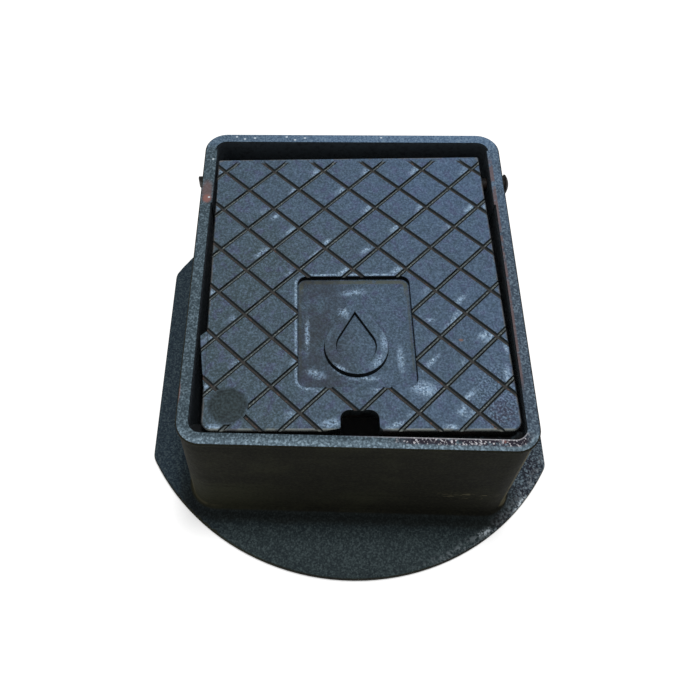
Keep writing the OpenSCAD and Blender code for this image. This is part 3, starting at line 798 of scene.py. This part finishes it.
class SURFACEBOX_OT_stage(bpy.types.Operator):
    """Sets the camera, the floor, the sky and the lamp"""

    bl_idname = "surfacebox.stage"
    bl_label = "Set the stage"

    def execute(self, context):
        size = context.scene.surfacebox_stage
        scene = context.scene
        scene.view_settings.view_transform = "Standard"
        self.set_camera(scene, size)
        self.lay_floor(scene, size)
        self.light_sky(scene, size)
        self.hang_lamp(scene, size)
        return {"FINISHED"}

    def set_camera(self, scene, size):
        """Stands the camera high in front of the box."""
        data = bpy.data.cameras.new("camera")
        data.lens = size.lens
        data.sensor_width = 36
        data.shift_x = size.shift_x
        data.shift_y = size.shift_y
        data.clip_start = 0.01
        camera = bpy.data.objects.new("camera", data)
        turn = Euler(size.camera_turn).to_matrix().to_4x4()
        camera.matrix_world = Matrix.Translation(size.camera_place) @ turn
        scene.collection.objects.link(camera)
        scene.camera = camera

    def shown_ray(self, tree):
        """1 for rays from the camera, from a gloss and through glass."""
        path = add_node(tree, "ShaderNodeLightPath").outputs
        found = path["Is Camera Ray"]
        for name in ("Is Glossy Ray", "Is Transmission Ray"):
            feeds = {0: found, 1: path[name]}
            found = add_node(tree, "ShaderNodeMath", feeds, operation="MAXIMUM").outputs[0]
        return found

    def scaled(self, tree, value, low, high):
        """A value from 0 to 1 spread from low to high."""
        feeds = {"Value": value, "To Min": low, "To Max": high}
        return add_node(tree, "ShaderNodeMapRange", feeds).outputs["Result"]

    def outside_box(self, tree, value):
        """A value kept only clear of the ground that the box stands over, which stays dark."""
        feeds = {
            "Vector": add_node(tree, "ShaderNodeTexCoord").outputs["Object"],
            "Location": (0, BOX_BACK * MM, 0),
            "Scale": (*DARK_GROUND, 1),
        }
        laid = add_node(tree, "ShaderNodeMapping", feeds, vector_type="TEXTURE").outputs["Vector"]
        far = add_node(tree, "ShaderNodeVectorMath", {0: laid}, operation="ABSOLUTE").outputs["Vector"]
        sides = add_node(tree, "ShaderNodeSeparateXYZ", {0: far}).outputs
        kept = sides["X"]
        for step, other in (("MAXIMUM", sides["Y"]), ("GREATER_THAN", 1.0), ("MULTIPLY", value)):
            kept = add_node(tree, "ShaderNodeMath", {0: kept, 1: other}, operation=step).outputs[0]
        return kept

    def lay_floor(self, scene, size):
        """A wide pale disc just under the flange."""
        mesh = bmesh.new()
        bmesh.ops.create_circle(mesh, cap_ends=True, radius=size.floor_radius, segments=96)
        bmesh.ops.translate(mesh, verts=mesh.verts[:], vec=(0, 0, -FLOOR_DROP))
        data = bpy.data.meshes.new("floor")
        mesh.to_mesh(data)
        mesh.free()
        floor = bpy.data.objects.new("floor", data)
        scene.collection.objects.link(floor)
        pale = bpy.data.materials.new("pale_floor")
        pale.use_nodes = True
        shader = pale.node_tree.nodes["Principled BSDF"]
        shader.inputs["Base Color"].default_value = (*size.floor_colour, 1)
        shader.inputs["Roughness"].default_value = 0.9
        shader.inputs["Specular IOR Level"].default_value = 0.0
        shader.inputs["Emission Color"].default_value = (1, 1, 1, 1)
        glow = self.scaled(pale.node_tree, self.shown_ray(pale.node_tree), 0.0, size.floor_glow)
        glow = self.outside_box(pale.node_tree, glow)
        pale.node_tree.links.new(glow, shader.inputs["Emission Strength"])
        data.materials.append(pale)

    def light_sky(self, scene, size):
        """Even light from all round, which shows white."""
        world = scene.world or bpy.data.worlds.new("sky")
        scene.world = world
        world.use_nodes = True
        back = world.node_tree.nodes["Background"]
        back.inputs["Color"].default_value = (1, 1, 1, 1)
        shown = self.scaled(world.node_tree, self.shown_ray(world.node_tree), size.sky, 1.0)
        world.node_tree.links.new(shown, back.inputs["Strength"])

    def hang_lamp(self, scene, size):
        """One round lamp overhead, a little behind and to the right."""
        data = bpy.data.lights.new("lamp", "AREA")
        data.shape = "DISK"
        data.size = size.lamp_size
        data.energy = size.lamp_power
        lamp = bpy.data.objects.new("lamp", data)
        lamp.location = size.lamp_place
        lamp.rotation_euler = Vector(size.lamp_place).to_track_quat("Z", "Y").to_euler()
        scene.collection.objects.link(lamp)


class SURFACEBOX_OT_frame_coat(bpy.types.Operator):
    """Gives the frame its worn dark coat"""

    bl_idname = "surfacebox.frame_coat"
    bl_label = "Coat the frame"

    def execute(self, context):
        wear("frame", make_frame_coat(context.scene.surfacebox_frame))
        return {"FINISHED"}


class SURFACEBOX_OT_lid_coat(bpy.types.Operator):
    """Gives the lid its scuffed blue grey coat"""

    bl_idname = "surfacebox.lid_coat"
    bl_label = "Coat the lid"

    def execute(self, context):
        wear("lid", make_lid_coat(context.scene.surfacebox_lid))
        return {"FINISHED"}


class SURFACEBOX_OT_pin_coat(bpy.types.Operator):
    """Gives the hinge pin its rusty dark steel"""

    bl_idname = "surfacebox.pin_coat"
    bl_label = "Darken the pin"

    def execute(self, context):
        wear("hinge_pin", make_pin_coat(context.scene.surfacebox_pin))
        return {"FINISHED"}


class SURFACEBOX_OT_raised_drop(bpy.types.Operator):
    """Casts the raised drop on the lid's sunk panel"""

    bl_idname = "surfacebox.raised_drop"
    bl_label = "Raise the drop"

    def execute(self, context):
        size = context.scene.surfacebox_drop
        material = bpy.data.materials.get("lid_coat")
        if material is None:
            raise RuntimeError("coat the lid before the drop")
        mesh = bmesh.new()
        raise_drop(mesh, size)
        panel_floor = (LID_TOP - PANEL_DEEP) * MM
        place = (
            Matrix.Translation((0, BOX_BACK * MM, panel_floor))
            @ Matrix.Rotation(LID_TURN, 4, "Z")
            @ Matrix.Translation((0, -size.front, 0))
        )
        bmesh.ops.transform(mesh, matrix=place, verts=mesh.verts[:])
        finished("raised_drop", mesh, material, "lid")
        return {"FINISHED"}


class SURFACEBOX_PT_panel(bpy.types.Panel):
    """Steps and settings of the surface box"""

    bl_idname = "SURFACEBOX_PT_panel"
    bl_label = "Surface box"
    bl_space_type = "VIEW_3D"
    bl_region_type = "UI"
    bl_category = "Surface box"

    def draw(self, context):
        for step, settings in STEPS:
            box = self.layout.box()
            box.operator(step)
            group = getattr(context.scene, settings)
            for name in group.__annotations__:
                box.prop(group, name)


STEPS = (
    ("surfacebox.stage", "surfacebox_stage"),
    ("surfacebox.frame_coat", "surfacebox_frame"),
    ("surfacebox.lid_coat", "surfacebox_lid"),
    ("surfacebox.pin_coat", "surfacebox_pin"),
    ("surfacebox.raised_drop", "surfacebox_drop"),
)

GROUPS = {
    "surfacebox_stage": StageSettings,
    "surfacebox_frame": FrameFinish,
    "surfacebox_lid": LidFinish,
    "surfacebox_pin": PinFinish,
    "surfacebox_drop": DropSettings,
}

CLASSES = (
    *GROUPS.values(),
    SURFACEBOX_OT_stage,
    SURFACEBOX_OT_frame_coat,
    SURFACEBOX_OT_lid_coat,
    SURFACEBOX_OT_pin_coat,
    SURFACEBOX_OT_raised_drop,
    SURFACEBOX_PT_panel,
)


def register():
    """Registers the classes and hangs their settings on the scene."""
    for made in CLASSES:
        bpy.utils.register_class(made)
    for name, group in GROUPS.items():
        setattr(bpy.types.Scene, name, PointerProperty(type=group))


def unregister():
    """Takes the settings and the classes away again."""
    for name in GROUPS:
        delattr(bpy.types.Scene, name)
    for made in reversed(CLASSES):
        bpy.utils.unregister_class(made)


def main():
    """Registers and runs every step."""
    register()
    for step, _ in STEPS:
        group, action = step.split(".")
        getattr(getattr(bpy.ops, group), action)()


if __name__ == "__main__":
    main()
